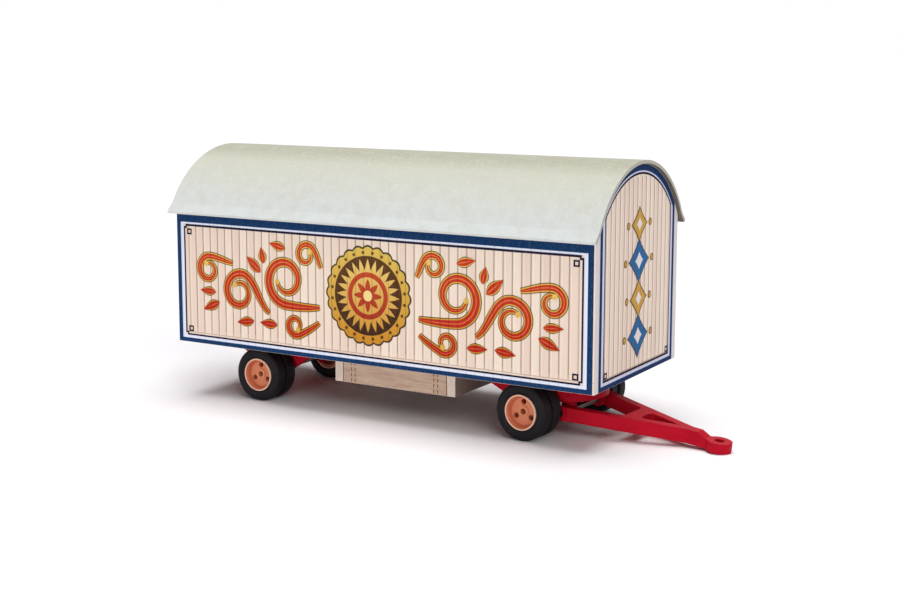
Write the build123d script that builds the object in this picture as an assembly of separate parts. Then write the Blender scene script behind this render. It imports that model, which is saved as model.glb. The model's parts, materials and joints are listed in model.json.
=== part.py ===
"""Scale model of a circus trailer: a boarded wood body under a bent card roof, on two axles with
twin tyres.  The front axle steers on a turntable and carries an A-shaped drawbar with a towing eye.

Frame: +X ahead, +Y to the trailer's left, +Z up, millimetres.  The ground is z = 0, and the origin
lies on it under the middle of the overall length.
"""
import os
from math import asin, atan2, cos, degrees, hypot, radians, sin, sqrt

from build123d import *

os.makedirs("parts", exist_ok=True)

# Body shell, thin wood
BODY_LENGTH = 72.9
BODY_WIDTH = 28.7
SHOULDER_HEIGHT = 21.6        # side walls, from their bottom edge to the springing of the arch
ARCH_RISE = 8.7               # end walls, from the shoulder to the crown
WALL = 1.3
FLOOR = 1.2
FLOOR_RECESS = 0.6            # the floor lies this far above the walls' bottom edge
GLUE = 0.03                   # glue line between wood pieces
TYRE_ROOM = 1.05              # between the tyres' tops and the floor

# Engraved boarding on the walls
BOARD_PITCH = 1.45
BOARD_LINE = 0.14             # width of an engraved joint
BOARD_DEPTH = 0.12
SIDE_BORDER = 2.4             # printed border round the side boarding
END_BORDER = 1.9              # printed border round the end boarding

# Roof, one bent card sheet
ROOF_SHEET = 0.5
ROOF_OVERHANG = 0.6           # past each end wall
ROOF_SEAT = 0.3               # the sheet leaves the arch this far above the shoulder
EAVE_FLARE = 1.9              # length of the straight eave
EAVE_ANGLE = 45.0             # slope of the eave below level

# Box under the floor, thin wood
BOX_FRONT = 23.6              # front face behind the body's front face
BOX_REAR = 28.1               # rear face ahead of the body's rear face
BOX_INSET = 3.35              # sides inside the body's sides
BOX_DROP = 3.9                # below the walls' bottom edge
BOX_END = 1.4                 # end panels
BOX_SIDE = 1.0                # side panels and bottom

# Wheels: twin tyres on a one-piece rim at each end of an axle
TYRE_RADIUS = 4.15
TYRE_WIDTH = 2.2
TYRE_GAP = 0.3                # between the two tyres of a twin
TYRE_SHOULDER = 0.4           # radius of each tread edge
TYRE_BEAD_INSET = 0.35        # bead inside the tyre's bowed side
TYRE_INSET = 2.6              # outer faces inside the body's sides
RIM_BARREL = 2.3              # radius under the tyres
RIM_FLANGE = 2.57
FLANGE_INSET = 0.06           # flange face inside the tyre's side
FLANGE_WIDTH = 0.22
DISH_DEPTH = 1.0
DISH_RADIUS = 2.0
RIM_SHELL = 0.4               # barrel wall
RIM_DISC = 0.7                # disc between dish and hollow back
HUB_RADIUS = 0.85
HUB_RISE = 0.15               # hub stands this far out of the dish
HAND_HOLES = 3
HAND_HOLE_RADIUS = 0.42
HAND_HOLE_CIRCLE = 1.43
AXLE_RADIUS = 0.4
AXLE_END_INSET = 1.9          # axle end inside the tyre's outer face
SEAT_CLEARANCE = 0.03         # rim on axle, tyre on rim
RUNNING_CLEARANCE = 0.05

# Axle positions
KINGPIN_BACK = 11.6           # behind the body's front face, also the front axle
REAR_AXLE_AHEAD = 13.55       # ahead of the body's rear face

# Rear axle carrier, moulded
CHEEK = 1.2
CHEEK_SIDE_PLAY = 0.3         # between a cheek and the inner tyre
AXLE_BOSS = 1.3
CARRIER_REACH = 9.5           # each way from the axle
CARRIER_TIP = 0.7             # depth of the cheek's ends
CARRIER_PLATE = 1.0
CARRIER_PLATE_LENGTH = 10.0

# Turntable and kingpin
TURNTABLE_RADIUS = 5.5
TURNTABLE = 1.0
TURN_PLAY = 0.1               # under the turntable and over the kingpin's head
KINGPIN_RADIUS = 1.0
KINGPIN_HEAD_RADIUS = 1.9
KINGPIN_HEAD = 0.6

# Front bogie frame, moulded
BOGIE_REAR = 8.6              # behind the kingpin
BOGIE_FRONT = 5.0             # ahead of the kingpin
BOGIE_DECK = 0.9
BOGIE_STRIP = 1.7             # depth of the cheek's top strip
SKIRT = 0.9                   # wall of the round skirt under the deck
SKIRT_OVER_AXLE = 0.45        # between the skirt and the axle
STEER_AT_REST = 5.0           # degrees to the trailer's right

# Drawbar, moulded
HINGE_AHEAD = 3.6             # hinge pin ahead of the kingpin
HINGE_HEIGHT = 3.55
HINGE_PIN_RADIUS = 0.4
HINGE_LUG = 1.0               # radius and thickness of each lug
DRAWBAR_THICK = 2.0
ARM_WIDTH = 1.5
ARM_SIDE_PLAY = 0.2           # between an arm and the bogie's lug
EYE_AHEAD = 21.6              # towing eye ahead of the hinge pin
EYE_RADIUS = 1.8
EYE_HOLE = 0.7
EYE_THICK = 1.4               # level with the arms' underside
EYE_SLOPE = 1.2               # length of the slope from the arms down to the eye
NECK_LENGTH = 4.5             # from the arms' outer corner to the eye
NECK_HALF_WIDTH = 0.9
TIE_AHEAD = 8.0               # cross tie ahead of the hinge pin
TIE_WIDTH = 2.0
TIE_FILLET = 0.7              # between tie and arms

# Heights and half widths that follow from the sizes above
FLOOR_UNDERSIDE = 2 * TYRE_RADIUS + TYRE_ROOM
BODY_HEIGHT = FLOOR_UNDERSIDE - FLOOR_RECESS
SHOULDER_Z = BODY_HEIGHT + SHOULDER_HEIGHT
HALF_WIDTH = BODY_WIDTH / 2
ARCH_RADIUS = (HALF_WIDTH ** 2 + ARCH_RISE ** 2) / (2 * ARCH_RISE)
ARCH_Z = SHOULDER_Z + ARCH_RISE - ARCH_RADIUS
TWIN_WIDTH = 2 * TYRE_WIDTH + TYRE_GAP
TWIN_OUTSIDE = HALF_WIDTH - TYRE_INSET
TWIN_INSIDE = TWIN_OUTSIDE - TWIN_WIDTH
CHEEK_OUTSIDE = TWIN_INSIDE - CHEEK_SIDE_PLAY
CHEEK_INSIDE = CHEEK_OUTSIDE - CHEEK
DECK_TOP = FLOOR_UNDERSIDE - TURNTABLE - TURN_PLAY
SKIRT_LOW = TYRE_RADIUS + AXLE_RADIUS + SKIRT_OVER_AXLE
ARM_OUTSIDE = CHEEK_OUTSIDE
ARM_INSIDE = ARM_OUTSIDE - ARM_WIDTH
NECK_AHEAD = EYE_AHEAD - NECK_LENGTH
ARM_TAPER = (ARM_OUTSIDE - NECK_HALF_WIDTH) / NECK_AHEAD
LUG_OUTSIDE = ARM_INSIDE - ARM_TAPER * HINGE_LUG - ARM_SIDE_PLAY
TIE_ROOM = ARM_INSIDE - ARM_TAPER * (TIE_AHEAD + TIE_WIDTH)    # half the gap at the tie's front

# The drawbar leans down until the eye's lower front edge meets the ground
EYE_REACH = EYE_AHEAD + EYE_RADIUS
DRAWBAR_TILT = degrees(
    asin(HINGE_HEIGHT / hypot(EYE_REACH, DRAWBAR_THICK / 2)) - atan2(DRAWBAR_THICK / 2, EYE_REACH)
)
EYE_LEAN = sin(radians(DRAWBAR_TILT)) * cos(radians(STEER_AT_REST))
EYE_CENTRE = (HINGE_AHEAD + EYE_AHEAD * cos(radians(DRAWBAR_TILT))) * cos(radians(STEER_AT_REST))
EYE_TOP = EYE_THICK - DRAWBAR_THICK / 2
TIP_AHEAD = EYE_CENTRE + EYE_RADIUS * sqrt(1 - EYE_LEAN ** 2) + EYE_TOP * EYE_LEAN

# Places along the length, with the overall length centred on x = 0
FRONT_X = (BODY_LENGTH + ROOF_OVERHANG - TIP_AHEAD + KINGPIN_BACK) / 2
REAR_X = FRONT_X - BODY_LENGTH
BODY_X = (FRONT_X + REAR_X) / 2
KINGPIN_X = FRONT_X - KINGPIN_BACK
REAR_AXLE_X = REAR_X + REAR_AXLE_AHEAD

BOGIE_PLACE = Pos(KINGPIN_X, 0, 0) * Rot(0, 0, -STEER_AT_REST)
DRAWBAR_PLACE = BOGIE_PLACE * Pos(HINGE_AHEAD, 0, HINGE_HEIGHT) * Rot(0, DRAWBAR_TILT, 0)


def write(shape, node):
    """Write one piece to its file."""
    export_step(shape, f"parts/{node}.step")


def slab(x_low, x_high, y_low, y_high, z_low, z_high):
    """A plain board between two corners."""
    board = Box(x_high - x_low, y_high - y_low, z_high - z_low)
    return Pos((x_low + x_high) / 2, (y_low + y_high) / 2, (z_low + z_high) / 2) * board


def rod(radius, half_length, x=0.0, z=0.0):
    """A round rod across the trailer, along Y."""
    return Pos(x, 0, z) * Rot(90, 0, 0) * Cylinder(radius, 2 * half_length)


def joint_lines(span, height):
    """Engraved board joints: evenly spaced lines over a field of the given span and height."""
    boards = max(2, round(span / BOARD_PITCH))
    return GridLocations(span / boards, 1, boards - 1, 1), Rectangle(BOARD_LINE, height)


def side_wall(side):
    """A full-length side wall, engraved with board joints on its outer face."""
    outer = side * HALF_WIDTH
    inner = side * (HALF_WIDTH - WALL)
    wall = slab(REAR_X, FRONT_X, min(outer, inner), max(outer, inner), BODY_HEIGHT, SHOULDER_Z)
    places, line = joint_lines(BODY_LENGTH - 2 * SIDE_BORDER, SHOULDER_HEIGHT - 2 * SIDE_BORDER)
    face = Plane((BODY_X, outer, (BODY_HEIGHT + SHOULDER_Z) / 2), x_dir=(1, 0, 0), z_dir=(0, -side, 0))
    joints = Sketch() + [place * line for place in places]
    return wall - extrude(face * joints, BOARD_DEPTH)


def arch_field(half_width, low, border):
    """Outline of an end wall's arched field: straight sides up to the shoulder, then an arc."""
    radius = ARCH_RADIUS - border
    spring = ARCH_Z + sqrt(radius ** 2 - half_width ** 2)
    outline = Polyline((-half_width, spring), (-half_width, low), (half_width, low), (half_width, spring))
    outline += ThreePointArc((half_width, spring), (0, ARCH_Z + radius), (-half_width, spring))
    return make_face(outline)


def end_wall(end):
    """An end wall between the side walls, with an arched head that rests on their tops."""
    tongue = HALF_WIDTH - WALL - GLUE
    head = arch_field(HALF_WIDTH, SHOULDER_Z + GLUE, 0)
    head &= Pos(0, SHOULDER_Z + GLUE + ARCH_RISE / 2) * Rectangle(BODY_WIDTH, ARCH_RISE)
    middle = (BODY_HEIGHT + SHOULDER_Z + GLUE) / 2
    stem = Pos(0, middle) * Rectangle(2 * tongue, SHOULDER_HEIGHT + GLUE)
    outer = FRONT_X if end > 0 else REAR_X
    face = Plane((outer, 0, 0), x_dir=(0, 1, 0), z_dir=(1, 0, 0))
    wall = extrude(face * (head + stem), -end * WALL)
    field = arch_field(tongue - END_BORDER, BODY_HEIGHT + SIDE_BORDER, END_BORDER)
    places, line = joint_lines(2 * (tongue - END_BORDER), 2 * (SHOULDER_HEIGHT + ARCH_RISE))
    joints = Sketch() + [Pos(0, middle) * place * line for place in places]
    return wall - extrude(face * (joints & field), -end * BOARD_DEPTH)


def roof_sheet():
    """The bent roof: an arc that lies on the end walls and a straight flared eave on each side."""
    radius = ARCH_RADIUS + GLUE
    height = SHOULDER_Z + ROOF_SEAT
    bend = Vector(radius * cos(asin((height - ARCH_Z) / radius)), height)
    tip = bend + Vector(cos(radians(EAVE_ANGLE)), -sin(radians(EAVE_ANGLE))) * EAVE_FLARE
    line = Line((-tip.X, tip.Y), (-bend.X, bend.Y))
    line += ThreePointArc((-bend.X, bend.Y), (0, ARCH_Z + radius), (bend.X, bend.Y))
    line += Line((bend.X, bend.Y), (tip.X, tip.Y))
    section = make_face(offset(line, ROOF_SHEET, side=Side.LEFT))
    face = Plane((REAR_X - ROOF_OVERHANG, 0, 0), x_dir=(0, 1, 0), z_dir=(1, 0, 0))
    return extrude(face * section, BODY_LENGTH + 2 * ROOF_OVERHANG)


def underfloor_box():
    """Two end panels with the sides and the bottom let in between them."""
    front = FRONT_X - BOX_FRONT
    rear = REAR_X + BOX_REAR
    low = BODY_HEIGHT - BOX_DROP
    half = HALF_WIDTH - BOX_INSET
    pieces = {
        "box_end_front": slab(front - BOX_END, front, -half, half, low, FLOOR_UNDERSIDE),
        "box_end_rear": slab(rear, rear + BOX_END, -half, half, low, FLOOR_UNDERSIDE),
    }
    inner_rear = rear + BOX_END + GLUE
    inner_front = front - BOX_END - GLUE
    for name, side in (("right", -1), ("left", 1)):
        faces = sorted((side * half, side * (half - BOX_SIDE)))
        pieces[f"box_side_{name}"] = slab(inner_rear, inner_front, *faces, low, FLOOR_UNDERSIDE)
    bottom = half - BOX_SIDE - GLUE
    pieces["box_bottom"] = slab(inner_rear, inner_front, -bottom, bottom, low, low + BOX_SIDE)
    return pieces


def tyre(outer_face, side):
    """One tyre of a twin, turned about the axle from a section with bowed walls and round shoulders."""
    bead = TYRE_BEAD_INSET
    far_bead = TYRE_WIDTH - bead
    bore = RIM_BARREL + SEAT_CLEARANCE
    seat = RIM_FLANGE + SEAT_CLEARANCE
    bow = (seat + TYRE_RADIUS) / 2
    outline = Polyline((seat, bead), (bore, bead), (bore, far_bead), (seat, far_bead))
    outline += ThreePointArc((seat, far_bead), (bow, TYRE_WIDTH), (TYRE_RADIUS, far_bead))
    outline += Line((TYRE_RADIUS, far_bead), (TYRE_RADIUS, bead))
    outline += ThreePointArc((TYRE_RADIUS, bead), (bow, 0), (seat, bead))
    section = make_face(outline)
    section = fillet(section.vertices().group_by(Axis.X)[-1], TYRE_SHOULDER)
    face = Plane((0, side * outer_face, 0), x_dir=(1, 0, 0), z_dir=(0, 0, -side))
    return Pos(0, 0, TYRE_RADIUS) * revolve(face * section, Axis.Y)


def rim(side):
    """One-piece twin rim: flanged barrel, dished disc with hand holes and a hub on the axle."""
    bore = AXLE_RADIUS + SEAT_CLEARANCE
    inner = TWIN_WIDTH - FLANGE_INSET
    hollow = RIM_BARREL - RIM_SHELL
    back = DISH_DEPTH + RIM_DISC
    lip = RIM_FLANGE - FLANGE_WIDTH
    section = Polyline(
        (bore, DISH_DEPTH - HUB_RISE),
        (HUB_RADIUS, DISH_DEPTH - HUB_RISE),
        (HUB_RADIUS, DISH_DEPTH),
        (DISH_RADIUS, DISH_DEPTH),
        (lip, FLANGE_INSET),
        (RIM_FLANGE, FLANGE_INSET),
        (RIM_FLANGE, FLANGE_INSET + FLANGE_WIDTH),
        (RIM_BARREL, FLANGE_INSET + FLANGE_WIDTH),
        (RIM_BARREL, inner - FLANGE_WIDTH),
        (RIM_FLANGE, inner - FLANGE_WIDTH),
        (RIM_FLANGE, inner),
        (hollow, inner),
        (hollow, back),
        (HUB_RADIUS, back),
        (HUB_RADIUS, inner),
        (bore, inner),
        close=True,
    )
    face = Plane((0, side * TWIN_OUTSIDE, 0), x_dir=(1, 0, 0), z_dir=(0, 0, -side))
    body = revolve(face * make_face(section), Axis.Y)
    disc = side * (TWIN_OUTSIDE - DISH_DEPTH - RIM_DISC / 2)
    hole = Rot(90, 0, 0) * Cylinder(HAND_HOLE_RADIUS, 2 * RIM_DISC)
    for turn in range(HAND_HOLES):
        angle = radians(90 + turn * 360 / HAND_HOLES)
        centre = Pos(HAND_HOLE_CIRCLE * cos(angle), disc, HAND_HOLE_CIRCLE * sin(angle))
        body -= centre * hole
    return Pos(0, 0, TYRE_RADIUS) * body


def wheelset(place, axle_name):
    """An axle with a rim and twin tyres at each end; it turns as one."""
    axle = rod(AXLE_RADIUS, TWIN_OUTSIDE - AXLE_END_INSET, z=TYRE_RADIUS)
    write(place * axle, f"{axle_name}_axle")
    for name, side in (("right", -1), ("left", 1)):
        write(place * rim(side), f"{axle_name}_rim_{name}")
        for twin, outer_face in (("outer", TWIN_OUTSIDE), ("inner", TWIN_INSIDE + TYRE_WIDTH)):
            write(place * tyre(outer_face, side), f"{axle_name}_tyre_{name}_{twin}")


def cheeks(profile, inside, thickness):
    """A pair of moulded cheeks from one side profile drawn in X and Z."""
    right = extrude(Plane((0, -inside, 0), x_dir=(1, 0, 0), z_dir=(0, -1, 0)) * profile, thickness)
    return right + mirror(right, Plane.XZ)


def boss_and_strip(reach_rear, reach_front, strip_low, strip_high):
    """Side profile: a level strip drawn down by tangents to a boss round the axle."""
    middle = (reach_front - reach_rear) / 2
    strip = Pos(middle, (strip_low + strip_high) / 2)
    strip *= Rectangle(reach_rear + reach_front, strip_high - strip_low)
    boss = Pos(0, TYRE_RADIUS) * Circle(AXLE_BOSS)
    return make_hull(strip.edges() + boss.edges())


def rear_axle_carrier():
    """Moulded carrier under the floor: spring-shaped cheeks joined by a plate."""
    profile = boss_and_strip(CARRIER_REACH, CARRIER_REACH, FLOOR_UNDERSIDE - CARRIER_TIP, FLOOR_UNDERSIDE)
    half = CARRIER_PLATE_LENGTH / 2
    plate = slab(-half, half, -CHEEK_INSIDE, CHEEK_INSIDE, FLOOR_UNDERSIDE - CARRIER_PLATE, FLOOR_UNDERSIDE)
    bore = rod(AXLE_RADIUS + RUNNING_CLEARANCE, HALF_WIDTH, z=TYRE_RADIUS)
    return Pos(REAR_AXLE_X, 0, 0) * (cheeks(profile, CHEEK_INSIDE, CHEEK) + plate - bore)


def bogie_frame():
    """Steered frame: round deck with a skirt, cheeks for the axle, inner lugs for the drawbar's pin."""
    middle = (DECK_TOP + SKIRT_LOW) / 2
    depth = DECK_TOP - SKIRT_LOW
    drum = Pos(0, 0, middle) * Cylinder(CHEEK_OUTSIDE, depth)
    drum -= Pos(0, 0, middle - BOGIE_DECK) * Cylinder(CHEEK_OUTSIDE - SKIRT, depth)
    cheek = boss_and_strip(BOGIE_REAR, BOGIE_FRONT, DECK_TOP - BOGIE_STRIP, DECK_TOP)
    lug = Pos(HINGE_AHEAD, HINGE_HEIGHT) * Circle(HINGE_LUG)
    lug += Pos(HINGE_AHEAD, (HINGE_HEIGHT + DECK_TOP) / 2) * Rectangle(2 * HINGE_LUG, DECK_TOP - HINGE_HEIGHT)
    frame = drum + cheeks(cheek, CHEEK_INSIDE, CHEEK)
    frame += cheeks(lug, LUG_OUTSIDE - HINGE_LUG, HINGE_LUG)
    frame -= rod(AXLE_RADIUS + RUNNING_CLEARANCE, HALF_WIDTH, z=TYRE_RADIUS)
    frame -= rod(HINGE_PIN_RADIUS + SEAT_CLEARANCE, HALF_WIDTH, HINGE_AHEAD, HINGE_HEIGHT)
    frame -= Pos(0, 0, DECK_TOP) * Cylinder(KINGPIN_RADIUS + RUNNING_CLEARANCE, 4 * BOGIE_DECK)
    return BOGIE_PLACE * frame


def turntable_plate():
    """Fixed disc under the floor that the bogie turns against."""
    disc = Cylinder(TURNTABLE_RADIUS, TURNTABLE) - Cylinder(KINGPIN_RADIUS + SEAT_CLEARANCE, 2 * TURNTABLE)
    return Pos(KINGPIN_X, 0, FLOOR_UNDERSIDE - TURNTABLE / 2) * disc


def kingpin():
    """Headed pin through the bogie's deck, the turntable and the floor."""
    head_top = DECK_TOP - BOGIE_DECK - TURN_PLAY
    top = FLOOR_UNDERSIDE + FLOOR
    section = Polyline(
        (0, head_top - KINGPIN_HEAD),
        (KINGPIN_HEAD_RADIUS, head_top - KINGPIN_HEAD),
        (KINGPIN_HEAD_RADIUS, head_top),
        (KINGPIN_RADIUS, head_top),
        (KINGPIN_RADIUS, top),
        (0, top),
        close=True,
    )
    return Pos(KINGPIN_X, 0, 0) * revolve(Plane.XZ * make_face(section), Axis.Z)


def floor_plate():
    """Floor board between the walls, bored for the kingpin."""
    half = HALF_WIDTH - WALL - GLUE
    ends = WALL + GLUE
    board = slab(REAR_X + ends, FRONT_X - ends, -half, half, FLOOR_UNDERSIDE, FLOOR_UNDERSIDE + FLOOR)
    return board - Pos(KINGPIN_X, 0, FLOOR_UNDERSIDE) * Cylinder(KINGPIN_RADIUS + SEAT_CLEARANCE, 4 * FLOOR)


def drawbar():
    """A-frame: two arms on the hinge pin, a cross tie, and a towing eye where the arms meet."""
    crotch = ARM_INSIDE / ARM_TAPER
    outline = make_face(Polyline(
        (0, -ARM_OUTSIDE),
        (NECK_AHEAD, -NECK_HALF_WIDTH),
        (NECK_AHEAD, NECK_HALF_WIDTH),
        (0, ARM_OUTSIDE),
        close=True,
    ))
    gap = make_face(Polyline((0, -ARM_INSIDE), (crotch, 0), (0, ARM_INSIDE), close=True))
    gap -= Pos(TIE_AHEAD + TIE_WIDTH / 2, 0) * Rectangle(TIE_WIDTH, 2 * ARM_OUTSIDE)
    corners = [corner for corner in gap.vertices() if TIE_AHEAD / 2 < corner.X < (TIE_AHEAD + crotch) / 2]
    plan = outline - fillet(corners, min(TIE_FILLET, TIE_ROOM / 2))
    plan += Pos(NECK_AHEAD + NECK_LENGTH / 2, 0) * Rectangle(NECK_LENGTH, 2 * NECK_HALF_WIDTH)
    plan += Pos(EYE_AHEAD, 0) * Circle(EYE_RADIUS)
    plan -= Pos(EYE_AHEAD, 0) * Circle(EYE_HOLE)
    bar = extrude(plan, DRAWBAR_THICK / 2, both=True)
    over_eye = make_face(Polyline(
        (EYE_AHEAD - EYE_RADIUS - EYE_SLOPE, DRAWBAR_THICK / 2),
        (EYE_AHEAD - EYE_RADIUS, EYE_TOP),
        (EYE_REACH, EYE_TOP),
        (EYE_REACH, DRAWBAR_THICK / 2),
        close=True,
    ))
    bar -= extrude(Plane.XZ * over_eye, EYE_RADIUS, both=True)
    bar += rod(DRAWBAR_THICK / 2, ARM_OUTSIDE) - rod(DRAWBAR_THICK, ARM_INSIDE)
    bar -= rod(HINGE_PIN_RADIUS + RUNNING_CLEARANCE, HALF_WIDTH)
    return DRAWBAR_PLACE * bar


write(floor_plate(), "floor_plate")
for wall_name, wall_side in (("right", -1), ("left", 1)):
    write(side_wall(wall_side), f"side_wall_{wall_name}")
for wall_name, wall_end in (("front", 1), ("rear", -1)):
    write(end_wall(wall_end), f"end_wall_{wall_name}")
write(roof_sheet(), "roof_sheet")
for panel_name, panel in underfloor_box().items():
    write(panel, panel_name)
write(rear_axle_carrier(), "rear_axle_carrier")
write(turntable_plate(), "turntable_plate")
write(kingpin(), "kingpin")
write(bogie_frame(), "bogie_frame")
write(BOGIE_PLACE * rod(HINGE_PIN_RADIUS, ARM_OUTSIDE, HINGE_AHEAD, HINGE_HEIGHT), "drawbar_pin")
write(drawbar(), "drawbar")
wheelset(Pos(REAR_AXLE_X, 0, 0), "rear")
wheelset(BOGIE_PLACE, "front")

print("front face x", round(FRONT_X, 4), "kingpin x", round(KINGPIN_X, 4))
print("rear axle x", round(REAR_AXLE_X, 4), "drawbar tilt", round(DRAWBAR_TILT, 4))
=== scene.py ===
import json

import bpy
import numpy as np
from mathutils import Matrix, Vector


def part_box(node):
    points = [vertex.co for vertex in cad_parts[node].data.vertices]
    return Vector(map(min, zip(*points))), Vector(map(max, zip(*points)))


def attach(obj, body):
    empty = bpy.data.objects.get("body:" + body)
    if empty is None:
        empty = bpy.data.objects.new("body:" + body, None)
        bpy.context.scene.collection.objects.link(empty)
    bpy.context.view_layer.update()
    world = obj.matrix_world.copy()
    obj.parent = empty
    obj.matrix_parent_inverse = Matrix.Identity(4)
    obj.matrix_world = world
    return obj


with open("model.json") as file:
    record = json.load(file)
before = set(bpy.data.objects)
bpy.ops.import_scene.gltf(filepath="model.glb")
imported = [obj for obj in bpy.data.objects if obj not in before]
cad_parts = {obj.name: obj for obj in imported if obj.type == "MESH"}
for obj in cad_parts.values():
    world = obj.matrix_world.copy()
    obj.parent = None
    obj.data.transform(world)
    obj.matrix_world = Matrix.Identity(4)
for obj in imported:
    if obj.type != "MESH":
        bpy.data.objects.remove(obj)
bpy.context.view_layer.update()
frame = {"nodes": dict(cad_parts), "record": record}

# Walls
# Four thin plywood boards glued at the corners, with the plank joints burnt in by a laser.
# The wood stays bare and cream coloured; each plank's tone differs a little at random, and a pale line
# beside each joint is a painted highlight.
MM = 0.001
SIDE_BOARDS = 47
SIDE_MARGIN = 2.4       # plain wood at each end of a side's boarding
END_BOARDS = 15
END_FIELD = 22.24       # width of the boarding on an end wall
wall_low, wall_high = (np.array(corner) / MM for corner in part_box("side_wall_right"))
rear_x, front_x = wall_low[0], wall_high[0]
floor_z, shoulder_z = wall_low[2], wall_high[2]
half_width = -wall_low[1]
half_length = (front_x - rear_x) / 2
middle_x = (rear_x + front_x) / 2
side_pitch = (2 * half_length - 2 * SIDE_MARGIN) / SIDE_BOARDS
end_pitch = END_FIELD / END_BOARDS


def screen(red, green, blue):
    """Linear colour from a colour as a screen shows it, each channel 0 to 255."""
    value = np.array([red, green, blue]) / 255
    linear = np.where(value <= 0.04045, value / 12.92, ((value + 0.055) / 1.055) ** 2.4)
    return (*linear.tolist(), 1.0)


def node(tree, kind, inputs=None, **settings):
    """Add a shader node; inputs are links or plain values, by the socket's name or place."""
    made = tree.nodes.new(kind)
    for key, value in settings.items():
        setattr(made, key, value)
    for key, value in (inputs or {}).items():
        if isinstance(value, bpy.types.NodeSocket):
            tree.links.new(value, made.inputs[key])
        else:
            made.inputs[key].default_value = value
    return made


def calc(tree, operation, first, second=0.0, third=0.0, clamp=False):
    """One step of arithmetic on shader values."""
    inputs = {0: first, 1: second, 2: third}
    return node(tree, "ShaderNodeMath", inputs, operation=operation, use_clamp=clamp).outputs[0]


def vector(tree, operation, first, second=(0.0, 0.0, 0.0)):
    """One step of arithmetic on shader vectors."""
    return node(tree, "ShaderNodeVectorMath", {0: first, 1: second}, operation=operation).outputs


def mixed(tree, factor, first, second):
    """Mix of two colours by a factor."""
    return node(tree, "ShaderNodeMix", {0: factor, 6: first, 7: second}, data_type="RGBA").outputs[2]


def above(tree, value, level, gain):
    """Share of a value that lies above a level, times a gain, kept between 0 and 1."""
    return calc(tree, "MULTIPLY", calc(tree, "SUBTRACT", value, level, clamp=True), gain, clamp=True)


def spot_mm(tree):
    """Place on the object in millimetres, as a vector and as its three parts."""
    spot = node(tree, "ShaderNodeTexCoord").outputs["Object"]
    spot = vector(tree, "MULTIPLY", spot, (1 / MM, 1 / MM, 1 / MM))[0]
    return spot, node(tree, "ShaderNodeSeparateXYZ", {0: spot}).outputs


def start_group(name, inputs, outputs):
    """Empty shader group; inputs and outputs are names with V for a vector or F for a value."""
    tree = bpy.data.node_groups.new(name, "ShaderNodeTree")
    kinds = {"V": "NodeSocketVector", "F": "NodeSocketFloat"}
    for label, kind in inputs.items():
        tree.interface.new_socket(name=label, in_out="INPUT", socket_type=kinds[kind])
    for label, kind in outputs.items():
        tree.interface.new_socket(name=label, in_out="OUTPUT", socket_type=kinds[kind])
    return tree, tree.nodes.new("NodeGroupInput").outputs, tree.nodes.new("NodeGroupOutput").inputs


def start_material(name, roughness, specular):
    """Material with its Principled shader; returns material, tree and the shader's sockets."""
    material = bpy.data.materials.new(name)
    material.use_nodes = True
    sockets = material.node_tree.nodes["Principled BSDF"].inputs
    sockets["Roughness"].default_value = roughness
    sockets["Specular IOR Level"].default_value = specular
    return material, material.node_tree, sockets


def relief(tree, sockets, height, depth, strength, rounding=0.0):
    """Bump of the given depth in millimetres, on normals rounded at the edges if asked."""
    inputs = {"Height": height, "Distance": depth * MM, "Strength": strength}
    if rounding:
        inputs["Normal"] = node(tree, "ShaderNodeBevel", {"Radius": rounding * MM}, samples=4).outputs[0]
    tree.links.new(node(tree, "ShaderNodeBump", inputs).outputs[0], sockets["Normal"])


def dress(names, material):
    """Give CAD pieces a material."""
    for name in names:
        frame["nodes"][name].data.materials.clear()
        frame["nodes"][name].data.materials.append(material)


# Plank joints: nearness to evenly spaced lines, a band of painted highlight on one side of each line, and
# one random value for each plank
planks, given, result = start_group(
    "plank joints",
    {"Along": "F", "Middle": "F", "Pitch": "F", "Half Line": "F"},
    {"Joint": "F", "Painted Highlight": "F", "Plank": "F"},
)
place = calc(planks, "SUBTRACT", given["Along"], given["Middle"])
place = calc(planks, "ADD", calc(planks, "DIVIDE", place, given["Pitch"]), 0.5)
away = calc(planks, "SUBTRACT", place, calc(planks, "ROUND", place))
away = calc(planks, "DIVIDE", calc(planks, "MULTIPLY", away, given["Pitch"]), given["Half Line"])
planks.links.new(calc(planks, "SUBTRACT", 1.0, calc(planks, "ABSOLUTE", away), clamp=True), result["Joint"])
# painted highlight: a pale band on one side of each joint
edge = calc(planks, "ABSOLUTE", calc(planks, "SUBTRACT", away, 1.5))
planks.links.new(calc(planks, "SUBTRACT", 1.0, edge, clamp=True), result["Painted Highlight"])
tone = node(planks, "ShaderNodeTexWhiteNoise", noise_dimensions="1D")
planks.links.new(calc(planks, "FLOOR", place), tone.inputs["W"])
planks.links.new(tone.outputs["Value"], result["Plank"])

# Wood grain: long streaks along one axis and a fine fibre over them
grain, given, result = start_group("wood grain", {"Stretch": "V"}, {"Streak": "F", "Fibre": "F"})
spot = vector(grain, "MULTIPLY", spot_mm(grain)[0], given["Stretch"])[0]
streak = node(grain, "ShaderNodeTexNoise", {"Vector": spot, "Scale": 1.0, "Detail": 3.0, "Distortion": 0.4})
fibre = node(grain, "ShaderNodeTexNoise", {"Vector": spot, "Scale": 5.0, "Detail": 2.0, "Roughness": 0.7})
grain.links.new(streak.outputs[0], result["Streak"])
grain.links.new(fibre.outputs[0], result["Fibre"])


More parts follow.
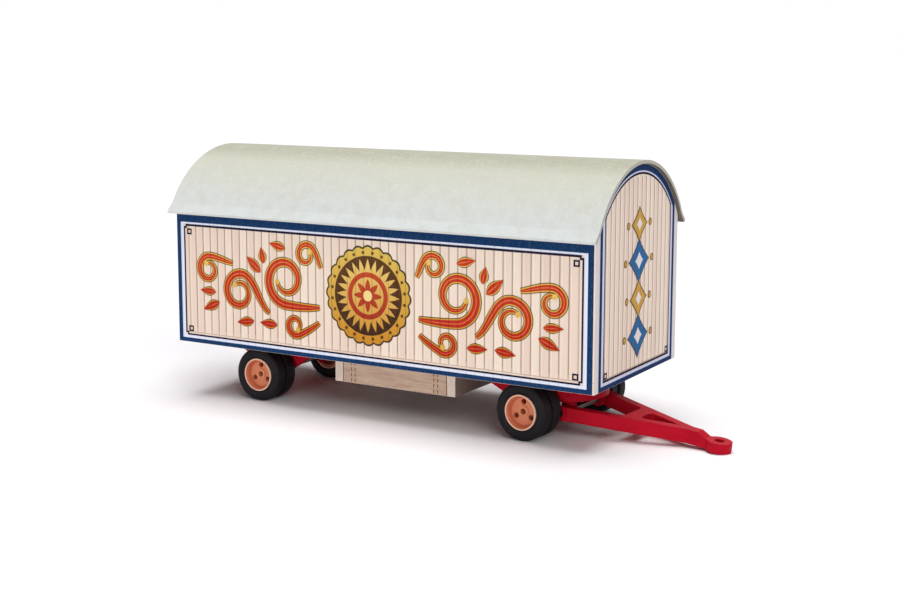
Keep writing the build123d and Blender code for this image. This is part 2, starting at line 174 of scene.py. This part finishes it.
def wall_wood(name, axis, middle, pitch, reach, low, high, end_at, burnt, painted_highlight):
    """Bare plywood: plank joints in a field of the given reach and heights, and pale end grain past
    end_at; burnt and the last argument are the depth of the joints' colour and of the painted
    highlight beside each joint."""
    material, tree, sockets = start_material(name, 0.62, 0.3)
    parts = spot_mm(tree)[1]
    along, height = parts[axis], parts["Z"]
    inputs = {"Along": along, "Middle": middle, "Pitch": pitch, "Half Line": 0.2}
    board = node(tree, "ShaderNodeGroup", inputs, node_tree=planks).outputs
    offset = calc(tree, "ABSOLUTE", calc(tree, "SUBTRACT", along, middle))
    inside = calc(tree, "LESS_THAN", offset, reach)
    inside = calc(tree, "MULTIPLY", inside, calc(tree, "GREATER_THAN", height, low))
    inside = calc(tree, "MULTIPLY", inside, calc(tree, "LESS_THAN", height, high))
    sill = calc(tree, "ABSOLUTE", calc(tree, "SUBTRACT", height, low))
    sill = calc(tree, "SUBTRACT", 1.0, calc(tree, "DIVIDE", sill, 0.12), clamp=True)
    wood = node(tree, "ShaderNodeGroup", {"Stretch": (5.2, 5.2, 0.26)}, node_tree=grain).outputs
    colour = mixed(tree, board["Plank"], screen(234, 211, 193), screen(245, 228, 208))
    colour = mixed(tree, above(tree, wood["Streak"], 0.38, 1.0), colour, screen(224, 199, 182))
    colour = mixed(tree, above(tree, wood["Fibre"], 0.46, 0.9), colour, screen(248, 236, 224))
    # Painted highlight: a pale band beside each joint.
    colour = mixed(tree, calc(tree, "MULTIPLY", board["Painted Highlight"], painted_highlight), colour, screen(254, 245, 234))
    burn = calc(tree, "MAXIMUM", calc(tree, "MULTIPLY", board["Joint"], inside), sill)
    colour = mixed(tree, calc(tree, "MULTIPLY", burn, burnt), colour, screen(164, 134, 114))
    colour = mixed(tree, calc(tree, "GREATER_THAN", offset, end_at), colour, screen(220, 215, 216))
    tree.links.new(colour, sockets["Base Color"])
    relief(tree, sockets, wood["Fibre"], 0.03, 0.12)
    return material


side_wood = wall_wood(
    "boarded_side", "X", middle_x, side_pitch, reach=half_length - 1.8,
    low=floor_z + 1.66, high=shoulder_z - 3.0, end_at=half_length - 0.02, burnt=0.65, painted_highlight=0.3,
)
dress(("side_wall_right", "side_wall_left"), side_wood)
end_wood = wall_wood(
    "boarded_end", "Y", 0.0, end_pitch, reach=11.2,
    low=floor_z + 1.5, high=shoulder_z + 6.8, end_at=half_width - 1.2, burnt=1.0, painted_highlight=1.0,
)
dress(("end_wall_front", "end_wall_rear"), end_wood)

# Printed borders on the side walls
# Screen-printed bands round each wall: a dark blue band, a white line, and a thin dark line whose
# corners step in round a small square ring.  The ink lies on the wood as a film.
FILM = 0.02             # height of one pass of ink
STEP = 0.36             # step in the thin line's corners
RING = 0.95             # outer size of the square rings


def lay_print(name, bands, axis, level, layer, ink):
    """A flat print on a wall.  Each band is a strip between two lines of points, a surface of two
    parameters: the place along the lines, and the share of the way from the outer to the inner one.
    Points are (along, height) in millimetres; level is the wall's face, seen from outside."""
    points, faces, count = [], [], 0
    for outer, inner, closed in bands:
        number = len(outer)
        first = np.arange(number if closed else number - 1)
        after = (first + 1) % number
        faces.append(np.stack([first, after, after + number, first + number], axis=1) + count)
        points.append(np.concatenate([outer, inner]))
        count += 2 * number
    flat = np.concatenate(points)
    faces = np.concatenate(faces)
    deep = np.full(len(flat), level + np.sign(level) * FILM * (layer + 1))
    columns = [flat[:, 0], deep, flat[:, 1]] if axis == "Y" else [deep, flat[:, 0], flat[:, 1]]
    place = np.stack(columns, axis=1) * MM
    corner = place[faces]
    facing = np.cross(corner[:, 2] - corner[:, 0], corner[:, 3] - corner[:, 1])[:, "XY".index(axis)]
    faces = np.where((facing * level < 0)[:, None], faces[:, ::-1], faces)
    mesh = bpy.data.meshes.new(name)
    mesh.from_pydata(place.tolist(), [], faces.tolist())
    mesh.materials.append(ink)
    piece = bpy.data.objects.new(name, mesh)
    bpy.context.collection.objects.link(piece)
    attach(piece, "body")


def printed(name, colour, axis, middle, pitch, cut, head=None):
    """Ink of one colour, or blended upwards into a second one: it thins over the wood's fibre, and the
    plank joints show through it."""
    material, tree, sockets = start_material(name, 0.65, 0.03)
    parts = spot_mm(tree)[1]
    inputs = {"Along": parts[axis], "Middle": middle, "Pitch": pitch, "Half Line": 0.14}
    board = node(tree, "ShaderNodeGroup", inputs, node_tree=planks).outputs
    wood = node(tree, "ShaderNodeGroup", {"Stretch": (5.2, 5.2, 0.5)}, node_tree=grain).outputs
    rise = calc(tree, "DIVIDE", calc(tree, "SUBTRACT", parts["Z"], floor_z + 4), 13.0, clamp=True)
    shade = mixed(tree, rise, screen(*colour), screen(*(head or colour)))
    thin = calc(tree, "MULTIPLY", above(tree, wood["Fibre"], 0.45, 2.0), 0.12)
    shade = mixed(tree, thin, shade, screen(236, 214, 192))
    deep = screen(*(part // 2 for part in colour))
    shade = mixed(tree, calc(tree, "MULTIPLY", board["Joint"], cut), shade, deep)
    tree.links.new(shade, sockets["Base Color"])
    return material


def box_loop(low, high):
    """Four corners of an upright rectangle."""
    return np.array([(low[0], low[1]), (high[0], low[1]), (high[0], high[1]), (low[0], high[1])])


def side_loop(rear, front, bottom, top):
    """Rectangle inside a side wall's edges by the given insets."""
    return box_loop((rear_x + rear, floor_z + bottom), (front_x - front, shoulder_z - top))


def stepped_loop(rear, front, bottom, top):
    """The same rectangle with its corners stepped in."""
    corners = []
    for (x, z), along, up in zip(side_loop(rear, front, bottom, top), (1, -1, -1, 1), (1, 1, -1, -1)):
        steps = [(x, z + up * STEP), (x + along * STEP, z + up * STEP), (x + along * STEP, z)]
        corners += steps[::along * up]
    return np.array(corners)


def square_rings(low, high, size, line):
    """Four small square rings with their outer corners on the corners of a rectangle."""
    rings = []
    for x, along in ((low[0], 1), (high[0], -1)):
        for z, up in ((low[1], 1), (high[1], -1)):
            middle = np.array([x + along * size / 2, z + up * size / 2])
            outer = box_loop(middle - size / 2, middle + size / 2)
            rings.append((outer, box_loop(middle - size / 2 + line, middle + size / 2 - line), True))
    return rings


# insets from the wall's rear, front, bottom and top edges
line_in = stepped_loop(1.7, 1.96, 1.38, 3.02)
thin_line = (stepped_loop(1.42, 1.68, 1.12, 2.68), line_in, True)
blue_in = side_loop(0.8, 1.1, 0.68, 2.38)
# name, ink, bands
BORDERS = (
    ("border_blue", (0, 53, 99), [(side_loop(0.02, 0.25, 0.03, 0.1), blue_in, True)]),
    ("border_white", (228, 234, 250), [(blue_in, side_loop(1.38, 1.64, 1.1, 2.66), True)]),
    ("border_dark", (26, 26, 54), [thin_line] + square_rings(line_in[1], line_in[7], RING, 0.25)),
)
for print_name, colour, bands in BORDERS:
    ink = printed(print_name, colour, "X", middle_x, side_pitch, 0.22)
    for side_name, face in (("right", -half_width), ("left", half_width)):
        lay_print(f"{print_name}_{side_name}", bands, "Y", face, 0, ink)

# Ornament on the side walls
# A printed fairground ornament: a scalloped sun rosette in the middle, and red scrolls and leaves with
# gold edges and a light line, out to both ends.  Each colour is one pass of ink over the one below.
rosette = np.array([middle_x, floor_z + 10.4])
BEADS = 24
BEAD_CIRCLE = 6.4
SCALLOP = 0.38
SHINE = 0.2             # width of a scroll's light line, as a share of the scroll's
VEIN = (0.8, 0.16)      # length and width of a leaf's light line, as shares of the leaf's
TIP_BALL = 0.42         # radius of the ball at a scroll's end
turn = np.linspace(0, 2 * np.pi, 192, endpoint=False)


def ring_of(radius, middle=(0.0, 0.0)):
    """Closed line about a middle; the radius is one value, or one for every angle."""
    radius = np.broadcast_to(radius, turn.shape)
    return np.stack([middle[0] + radius * np.cos(turn), middle[1] + radius * np.sin(turn)], axis=1)


def filled(loop):
    """Band from a closed line in to its middle."""
    middle = loop.mean(axis=0)
    return (loop, middle + 0.002 * (loop - middle), True)


def star_radius(points, tip, valley):
    """Radius of a star that runs straight between tips and valleys, as a triangle wave of the angle."""
    return valley + (tip - valley) * np.abs(((turn * points / (2 * np.pi)) % 1) * 2 - 1)


def scroll_band(start, heading, middle, radius, angle, turns, width, edge):
    """Strip along a scroll.  Its line leaves the start on a heading, bends by a cubic into a spiral about
    the middle, whose radius halves with each turn; the strip swells from a point and thins to the roll."""
    swing = np.linspace(0, abs(turns) * 2 * np.pi, 110)
    way = np.sign(turns)
    around = np.radians(angle) + way * swing
    reach = radius * 0.5 ** (swing / (2 * np.pi))
    roll = np.array(middle) + np.stack([np.cos(around), np.sin(around)], axis=1) * reach[:, None]
    leave = np.array([np.cos(np.radians(heading)), np.sin(np.radians(heading))])
    meet = way * np.array([-np.sin(around[0]), np.cos(around[0])])
    pull = np.linalg.norm(roll[0] - start)
    share = np.linspace(0, 1, 50)[:-1, None]
    stem = (2 * share ** 3 - 3 * share ** 2 + 1) * np.array(start)
    stem += (3 * share ** 2 - 2 * share ** 3) * roll[0]
    stem += pull * ((share ** 3 - 2 * share ** 2 + share) * leave + (share ** 3 - share ** 2) * meet)
    line = np.concatenate([stem, roll])
    move = np.gradient(line, axis=0)
    pace = np.linalg.norm(move, axis=1)
    across = np.stack([-move[:, 1], move[:, 0]], axis=1) / pace[:, None]
    share = np.cumsum(pace) / pace.sum()
    half = width / 2 * (0.12 + 0.88 * np.sin(np.pi * share ** 0.75).clip(0, 1) ** 0.7) + edge
    return line + across * half[:, None], line - across * half[:, None], line[-1]


def leaf_loop(start, heading, length, width):
    """Pointed leaf: two arcs of a sine, from its stem to its tip."""
    share = np.concatenate([np.linspace(0, 1, 24), np.linspace(1, 0, 24)[1:-1]])
    off = np.where(np.arange(len(share)) < 24, 1, -1) * width / 2 * np.sin(np.pi * share ** 0.8)
    ahead = np.array([np.cos(np.radians(heading)), np.sin(np.radians(heading))])
    return np.array(start) + np.outer(share * length, ahead) + np.outer(off, (-ahead[1], ahead[0]))


# start, heading in degrees, middle of the spiral, its radius, its first angle, turns, width
SCROLLS = (
    ((8.7, -2.6), -6, (15.0, 1.1), 3.8, -85, 1.2, 1.15),
    ((18.2, -4.3), 32, (24.0, -1.5), 3.0, 105, -1.15, 1.0),
    ((25.2, 2.9), 8, (30.1, 1.6), 2.1, 85, -1.05, 0.8),
    ((8.4, 3.4), 62, (11.2, 5.2), 1.7, 125, -0.95, 0.7),
    ((8.8, -4.9), -38, (13.3, -5.7), 1.6, -115, 0.95, 0.7),
)
# start, heading in degrees, length, width
LEAVES = (
    ((19.8, 1.9), 40, 3.6, 1.2),
    ((19.2, 3.3), 78, 2.6, 1.0),
    ((15.0, 5.9), 12, 3.2, 1.0),
    ((16.7, -6.0), 2, 3.4, 1.0),
    ((21.2, -5.8), -8, 3.4, 1.0),
    ((28.0, -3.4), -24, 3.6, 1.1),
    ((28.7, -1.9), 2, 3.2, 0.9),
)
scallop = SCALLOP * np.abs(np.cos(BEADS / 2 * turn))
bead = (np.arange(BEADS) + 0.5) * 2 * np.pi / BEADS
beads = rosette + BEAD_CIRCLE * np.stack([np.cos(bead), np.sin(bead)], axis=1)
heart = filled(ring_of(star_radius(8, 2.5, 1.15), rosette))
heart_ring = (ring_of(3.5, rosette), ring_of(2.75, rosette), True)
# pass of ink: its colour low down and high up, its place in the order of printing, its bands in the rosette
passes = {
    "outline": [(62, 50, 36), (74, 66, 42), 0, [filled(ring_of(7.15 + scallop, rosette))]],
    "gold": [(204, 140, 40), (222, 190, 90), 1, [filled(ring_of(6.87 + scallop, rosette))]],
    "red": [(180, 32, 26), (202, 58, 36), 2, []],
    "disc": [(58, 34, 20), (96, 62, 32), 2, [filled(ring_of(5.9, rosette))]],
    "beads": [(96, 56, 26), (120, 84, 40), 2, [filled(ring_of(0.25, middle)[::8]) for middle in beads]],
    "shine": [(210, 84, 46), (224, 124, 70), 3, []],
    "ends": [(222, 170, 70), (236, 200, 104), 4, []],
    "rays": [(206, 140, 44), (236, 206, 118), 3, [filled(ring_of(star_radius(24, 5.5, 3.75), rosette))]],
    "heart": [(150, 34, 24), (206, 82, 44), 4, [heart_ring, heart]],
    "button": [(240, 208, 120), (246, 226, 160), 5, [filled(ring_of(0.8, rosette))]],
}
for mirror in (1, -1):
    flip = np.array([mirror, 1])
    for ink_name, edge in (("outline", 0.3), ("gold", 0.19), ("red", 0.0)):
        for scroll in SCROLLS:
            upper, lower, tip = scroll_band(*scroll, edge)
            passes[ink_name][3].append((rosette + upper * flip, rosette + lower * flip, False))
        for start, heading, length, width in LEAVES:
            leaf = leaf_loop(start, heading, length, width + 2 * edge)
            passes[ink_name][3].append(filled(rosette + leaf * flip))
    for *line, width in SCROLLS:
        upper, lower, tip = scroll_band(*line, SHINE * width, 0.0)
        passes["shine"][3].append((rosette + upper * flip, rosette + lower * flip, False))
        passes["ends"][3].append(filled(rosette + ring_of(TIP_BALL, tip)[::8] * flip))
    for start, heading, length, width in LEAVES:
        vein = leaf_loop(start, heading, VEIN[0] * length, VEIN[1] * width)
        passes["shine"][3].append(filled(rosette + vein * flip))
for ink_name, (colour, head, layer, bands) in passes.items():
    ink = printed(f"ornament_{ink_name}", colour, "X", middle_x, side_pitch, 0.4, head)
    for side_name, face in (("right", -half_width), ("left", half_width)):
        lay_print(f"ornament_{ink_name}_{side_name}", bands, "Y", face, layer, ink)

# Prints on the end walls
# The same border, carried up round the arch, with the blue filling the space under the roof.
# Inside it stands a column of blue and gold lozenges with small balls beside them.
ARCH_RISE = 8.7         # end wall, from the shoulder to the crown
SIDE_WALL = 1.33        # side wall and its glue line, outside the end wall
arch_radius = (half_width ** 2 + ARCH_RISE ** 2) / (2 * ARCH_RISE)
arch_z = shoulder_z + ARCH_RISE - arch_radius
stem_half = half_width - SIDE_WALL


def arch_loop(sides, bottom, arch):
    """Closed line inside an end wall's edge by the given insets: level bottom, upright sides, and an
    arc about the arch's middle."""
    half = stem_half - sides
    radius = arch_radius - arch
    spring = np.arctan2(np.sqrt(radius ** 2 - half ** 2), half)
    angle = np.linspace(spring, np.pi - spring, 72)
    curve = np.stack([radius * np.cos(angle), arch_z + radius * np.sin(angle)], axis=1)
    return np.concatenate([[(-half, floor_z + bottom), (half, floor_z + bottom)], curve])


def lozenge(height, wide, high):
    """Upright lozenge on the middle line, with slightly hollow sides: powers of a sine and a cosine."""
    wave = np.stack([np.cos(turn), np.sin(turn)], axis=1)[::3]
    return (0.0, floor_z + height) + np.array([wide, high]) * np.sign(wave) * np.abs(wave) ** 2.3


# height over the wall's bottom edge, half width, half height, pass of ink of each lozenge
LOZENGES = (
    (5.8, 3.3, 3.0, "sky"),
    (11.2, 2.7, 2.5, "gold"),
    (16.6, 3.3, 3.0, "sky"),
    (21.8, 2.5, 2.3, "gold"),
)
rings = square_rings((1.76 - stem_half, floor_z + 1.48), (stem_half - 1.76, shoulder_z), RING, 0.26)
thin_line = (arch_loop(1.42, 1.12, 1.2), arch_loop(1.7, 1.42, 1.5), True)
blue_in = arch_loop(0.8, 0.68, 0.98)
# pass of ink: its colour, its place in the order of printing, its bands
passes = {
    "blue": [(0, 47, 96), 0, [(arch_loop(0.02, 0.03, 0.06), blue_in, True)]],
    "white": [(216, 218, 240), 0, [(blue_in, arch_loop(1.4, 1.1, 1.18), True)]],
    "dark": [(30, 28, 50), 0, [thin_line, rings[0], rings[2]]],
    "outline": [(92, 66, 40), 0, []],
    "sky": [(38, 104, 160), 1, []],
    "gold": [(206, 160, 72), 1, []],
    "heart": [(232, 226, 224), 2, []],
}
for height, wide, high, ink_name in LOZENGES:
    passes["outline"][2].append(filled(lozenge(height, wide + 0.35, high + 0.35)))
    passes[ink_name][2].append(filled(lozenge(height, wide, high)))
    passes["heart"][2].append(filled(lozenge(height, wide * 0.42, high * 0.42)))
    for side in (-1, 1):
        ball = (side * (wide + 1.3), floor_z + height)
        passes["outline"][2].append(filled(ring_of(0.55, ball)[::4]))
        passes["gold"][2].append(filled(ring_of(0.38, ball)[::4]))
for ink_name, (colour, layer, bands) in passes.items():
    ink = printed(f"end_{ink_name}", colour, "Y", 0.0, end_pitch, 0.3)
    for end_name, face in (("front", front_x), ("rear", rear_x)):
        lay_print(f"end_{ink_name}_{end_name}", bands, "X", face, layer, ink)

# Roof
# One sheet of pale grey card, rolled over the end walls and creased outwards along the eaves.
# The card has a fine tooth; it is painted darker and warmer going up to the ridge, which is painted shade,
# and is grey-brown beneath.
mottle, given, result = start_group(
    "fine mottle", {"Coarse": "F", "Fine": "F"}, {"Cloud": "F", "Tooth": "F"}
)
spot = spot_mm(mottle)[0]
inputs = {"Vector": spot, "Scale": given["Coarse"], "Detail": 4.0, "Roughness": 0.6}
cloud = node(mottle, "ShaderNodeTexNoise", inputs)
inputs = {"Vector": spot, "Scale": given["Fine"], "Detail": 3.0, "Roughness": 0.65}
tooth = node(mottle, "ShaderNodeTexNoise", inputs)
mottle.links.new(cloud.outputs[0], result["Cloud"])
mottle.links.new(tooth.outputs[0], result["Tooth"])

card, tree, sockets = start_material("roof_card", 0.9, 0.15)
spots = node(tree, "ShaderNodeGroup", {"Coarse": 0.5, "Fine": 2.2}, node_tree=mottle).outputs
spot, parts = spot_mm(tree)
# Painted shade: darker and warmer going up towards the ridge, and more so near the top.
height = calc(tree, "DIVIDE", calc(tree, "SUBTRACT", parts["Z"], shoulder_z), ARCH_RISE, clamp=True)
colour = mixed(tree, height, screen(208, 213, 212), screen(200, 199, 180))
colour = mixed(tree, above(tree, height, 0.84, 5.0), colour, screen(178, 177, 157))
colour = mixed(tree, above(tree, spots["Cloud"], 0.42, 1.8), colour, screen(195, 198, 184))
colour = mixed(tree, above(tree, spots["Tooth"], 0.52, 2.2), colour, screen(222, 224, 212))
facing = node(tree, "ShaderNodeNewGeometry").outputs["True Normal"]
outwards = vector(tree, "SUBTRACT", spot, (0.0, 0.0, arch_z))[0]
outwards = vector(tree, "MULTIPLY", outwards, (0.0, 1.0, 1.0))[0]
outwards = vector(tree, "DOT_PRODUCT", facing, outwards)["Value"]
colour = mixed(tree, calc(tree, "LESS_THAN", outwards, 1.0), colour, screen(186, 182, 170))
colour = mixed(tree, calc(tree, "LESS_THAN", outwards, -1.0), colour, screen(112, 104, 95))
tree.links.new(colour, sockets["Base Color"])
relief(tree, sockets, spots["Tooth"], 0.06, 0.3)
dress(("roof_sheet",), card)

# Box under the floor, and the floor
# Thin wood glued up: bare sides with singed cut edges and two rows of burnt dashes near each end,
# ends with a pale cut edge and a dark brown face that is painted shade, and a floor and a bottom
# in dark brown board, which is painted shade under the body.
SINGE = 0.1             # width of the singed edge
DASH = (0.14, 0.55)     # width and height of a dash
DASH_PITCH = 0.85
DASH_ROWS = (1.55, 2.2)
side_pieces = ("box_side_right", "box_side_left")
end_pieces = ("box_end_front", "box_end_rear")
under_pieces = ("box_bottom", "floor_plate")
# name, stretch of the grain, darker and paler tone, pieces
WOODS = (
    ("raw_wood", (0.33, 3.4, 3.4), (184, 152, 130), (214, 190, 170), side_pieces),
    ("raw_wood_ends", (3.4, 3.4, 0.5), (212, 192, 176), (234, 220, 208), end_pieces),
    # dark board under the body: its darkness is painted shade
    ("dark_board_painted_shade", (0.33, 3.4, 3.4), (104, 82, 68), (138, 112, 94), under_pieces),
)
for wood_name, stretch, low_tone, high_tone, pieces in WOODS:
    raw_wood, tree, sockets = start_material(wood_name, 0.7, 0.2)
    wood = node(tree, "ShaderNodeGroup", {"Stretch": stretch}, node_tree=grain).outputs
    colour = mixed(tree, above(tree, wood["Streak"], 0.25, 2.0), screen(*low_tone), screen(*high_tone))
    colour = mixed(tree, above(tree, wood["Fibre"], 0.5, 2.4), colour, screen(158, 124, 102))
    # Painted shade: the faces that look along the trailer are darkened, as they sit in shade under the
    # floor.
    if pieces == end_pieces:
        facing = node(tree, "ShaderNodeNewGeometry").outputs["True Normal"]
        ahead = calc(tree, "ABSOLUTE", node(tree, "ShaderNodeSeparateXYZ", {0: facing}).outputs["X"])
        ahead = calc(tree, "MULTIPLY", calc(tree, "GREATER_THAN", ahead, 0.5), 0.75)
        colour = mixed(tree, ahead, colour, screen(122, 100, 94))
    tree.links.new(colour, sockets["Base Color"])
    relief(tree, sockets, wood["Fibre"], 0.04, 0.2)
    dress(pieces, raw_wood)

box_low, box_high = (np.array(corner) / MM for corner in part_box("box_side_right"))
burnt = printed("burnt_dashes", (104, 74, 58), "X", middle_x, side_pitch, 0.0)
dashes = []
for end, inwards in ((box_low[0], 1), (box_high[0], -1)):
    edge = end if inwards > 0 else end - SINGE
    dashes.append(filled(box_loop((edge, box_low[2]), (edge + SINGE, floor_z))))
    for row in (end + inwards * inset for inset in DASH_ROWS):
        for low in np.arange(box_low[2] + 0.15, floor_z, DASH_PITCH):
            dashes.append(filled(box_loop((row - DASH[0] / 2, low), (row + DASH[0] / 2, low + DASH[1]))))
for side_name, face in (("right", box_low[1]), ("left", -box_low[1])):
    lay_print(f"box_dashes_{side_name}", dashes, "Y", face, 0, burnt)

# Running gear and drawbar
# Moulded in red plastic: the rear carrier, the turntable, the steered bogie and the drawbar.
# The moulding is half glossy, with a faint orange-peel skin and slightly rounded corners.
red_plastic, tree, sockets = start_material("red_plastic", 0.4, 0.03)
skin = node(tree, "ShaderNodeGroup", {"Coarse": 0.26, "Fine": 1.8}, node_tree=mottle).outputs
colour = mixed(tree, skin["Cloud"], screen(164, 13, 32), screen(196, 24, 45))
tree.links.new(colour, sockets["Base Color"])
gloss = calc(tree, "ADD", 0.3, calc(tree, "MULTIPLY", skin["Tooth"], 0.18))
tree.links.new(gloss, sockets["Roughness"])
relief(tree, sockets, skin["Tooth"], 0.04, 0.12, rounding=0.15)
dress(("rear_axle_carrier", "turntable_plate", "bogie_frame", "drawbar"), red_plastic)

# Wheels
# Each twin rim is one copper-orange moulding, dished, with a paler flange and a shadowed dish.
# The tyres are separate rings of matt black plastic pushed over it, with ribs round the tread.
RIM_RADIUS = 2.57
TREAD_RADIUS = 4.05     # the tread lies outside this
RIB_PITCH = 0.44
from_axle, given, result = start_group(
    "distance from axle", {"Middle": "V", "Axis": "V"}, {"Radius": "F", "Across": "F"}
)
arm = vector(from_axle, "SUBTRACT", spot_mm(from_axle)[0], given["Middle"])[0]
square = vector(from_axle, "CROSS_PRODUCT", arm, given["Axis"])[0]
from_axle.links.new(vector(from_axle, "LENGTH", square)["Value"], result["Radius"])
from_axle.links.new(vector(from_axle, "DOT_PRODUCT", arm, given["Axis"])["Value"], result["Across"])

# share of the rim's radius, colour there
RIM_TONES = (
    (0.0, (206, 122, 82)),
    (0.3, (224, 140, 100)),
    (0.7, (220, 134, 96)),
    (0.82, (194, 108, 74)),
    (0.9, (216, 132, 98)),
    (0.93, (246, 196, 166)),
    (1.0, (250, 210, 184)),
)
for joint in frame["record"]["behaviour"]["joints"]:
    if not joint["name"].endswith("wheels_roll"):
        continue
    axle = joint["name"].split("_")[0]
    wheel = {"Middle": tuple(part / MM for part in joint["pos_m"]), "Axis": joint["axis"]}
    rim, tree, sockets = start_material(f"{axle}_rim_plastic", 0.5, 0.3)
    reach = node(tree, "ShaderNodeGroup", wheel, node_tree=from_axle).outputs
    skin = node(tree, "ShaderNodeGroup", {"Coarse": 0.9, "Fine": 2.4}, node_tree=mottle).outputs
    ramp = node(tree, "ShaderNodeValToRGB", {0: calc(tree, "DIVIDE", reach["Radius"], RIM_RADIUS)})
    for share, tone in RIM_TONES[1:-1]:
        ramp.color_ramp.elements.new(share)
    for element, (share, tone) in zip(ramp.color_ramp.elements, RIM_TONES):
        element.color = screen(*tone)
    worn = calc(tree, "MULTIPLY", skin["Cloud"], 0.3)
    tree.links.new(mixed(tree, worn, ramp.outputs[0], screen(170, 88, 60)), sockets["Base Color"])
    relief(tree, sockets, skin["Tooth"], 0.03, 0.15)
    dress((f"{axle}_rim_right", f"{axle}_rim_left"), rim)

    tyre, tree, sockets = start_material(f"{axle}_tyre_black", 0.6, 0.12)
    reach = node(tree, "ShaderNodeGroup", wheel, node_tree=from_axle).outputs
    skin = node(tree, "ShaderNodeGroup", {"Coarse": 0.4, "Fine": 2.2}, node_tree=mottle).outputs
    tree.links.new(mixed(tree, skin["Cloud"], screen(14, 12, 15), screen(36, 32, 36)), sockets["Base Color"])
    ribs = calc(tree, "SINE", calc(tree, "MULTIPLY", reach["Across"], 2 * np.pi / RIB_PITCH))
    ribs = calc(tree, "MULTIPLY", ribs, calc(tree, "GREATER_THAN", reach["Radius"], TREAD_RADIUS))
    ribs = calc(tree, "ADD", ribs, calc(tree, "MULTIPLY", skin["Tooth"], 0.3))
    relief(tree, sockets, ribs, 0.06, 0.3)
    for side in ("right", "left"):
        dress((f"{axle}_tyre_{side}_outer", f"{axle}_tyre_{side}_inner"), tyre)

# Pins and axles
# Short lengths of drawn steel wire, blackened, and a little worn.
wire, tree, sockets = start_material("drawn_wire", 0.4, 0.5)
skin = node(tree, "ShaderNodeGroup", {"Coarse": 0.6, "Fine": 3.0}, node_tree=mottle).outputs
tree.links.new(mixed(tree, skin["Cloud"], screen(92, 88, 86), screen(138, 134, 132)), sockets["Base Color"])
tree.links.new(calc(tree, "ADD", 0.28, calc(tree, "MULTIPLY", skin["Tooth"], 0.2)), sockets["Roughness"])
sockets["Metallic"].default_value = 1.0
dress(("kingpin", "drawbar_pin", "front_axle", "rear_axle"), wire)

# Floor and light
# A plain white floor, lit by a broad soft lamp overhead, a low one at the near side and one at the near
# corner.  The sky is white to the eye and dim in the light that it gives.
floor_mesh = bpy.data.meshes.new("studio_floor")
floor_mesh.from_pydata([(-30, -30, 0), (30, -30, 0), (30, 30, 0), (-30, 30, 0)], [], [(0, 1, 2, 3)])
studio_floor = bpy.data.objects.new("studio_floor", floor_mesh)
bpy.context.collection.objects.link(studio_floor)
floor_white, tree, sockets = start_material("floor_white", 0.9, 0.0)
sockets["Base Color"].default_value = (1.0, 0.99, 1.0, 1.0)
floor_mesh.materials.append(floor_white)

world = bpy.data.worlds.new("studio")
bpy.context.scene.world = world
world.use_nodes = True
tree = world.node_tree
tree.nodes.clear()
rays = node(tree, "ShaderNodeLightPath").outputs
seen = calc(tree, "MAXIMUM", rays["Is Camera Ray"], rays["Is Glossy Ray"])
seen = calc(tree, "MAXIMUM", seen, rays["Is Transmission Ray"])
soft = node(tree, "ShaderNodeBackground", {0: (0.95, 0.8, 1.1, 1.0), 1: 0.05})
white = node(tree, "ShaderNodeBackground", {0: (1.0, 1.0, 1.0, 1.0), 1: 1.0})
both = node(tree, "ShaderNodeMixShader", {0: seen, 1: soft.outputs[0], 2: white.outputs[0]})
node(tree, "ShaderNodeOutputWorld", {0: both.outputs[0]})

# name, strength, spread in degrees, direction that the light comes from
LAMPS = (
    ("overhead", 2.6, 50, (0.0, 0.04, 1.0)),
    ("side", 1.2, 24, (0.05, -1.0, 0.03)),
    ("corner", 0.95, 36, (0.62, -0.5, 0.55)),
)
for lamp_name, strength, spread, source in LAMPS:
    lamp = bpy.data.lights.new(lamp_name, "SUN")
    lamp.energy = strength
    lamp.angle = np.radians(spread)
    lamp_object = bpy.data.objects.new(lamp_name, lamp)
    lamp_object.rotation_euler = Vector(source).to_track_quat("Z", "Y").to_euler()
    bpy.context.collection.objects.link(lamp_object)

# Camera
# A long lens from the trailer's right front corner, a little above the floor.
camera = bpy.data.cameras.new("camera")
camera.sensor_width = 36.0
camera.lens = 56.764
camera.shift_y = -0.05679
camera.clip_start = 0.01
azimuth, elevation, roll = np.radians([30.7681, 7.7147, 0.0767])
level = np.cos(elevation)
back = Vector((np.sin(azimuth) * level, -np.cos(azimuth) * level, np.sin(elevation)))
right = Vector((np.cos(azimuth), np.sin(azimuth), 0.0))
up = back.cross(right)
right, up = right * np.cos(roll) + up * np.sin(roll), up * np.cos(roll) - right * np.sin(roll)
stand = Vector((front_x + 78.6406, -184.2557, floor_z + 45.1066)) * MM
camera_object = bpy.data.objects.new("camera", camera)
camera_object.matrix_world = Matrix.Translation(stand) @ Matrix((right, up, back)).transposed().to_4x4()
bpy.context.collection.objects.link(camera_object)
bpy.context.scene.camera = camera_object
bpy.context.scene.view_settings.view_transform = "Standard"
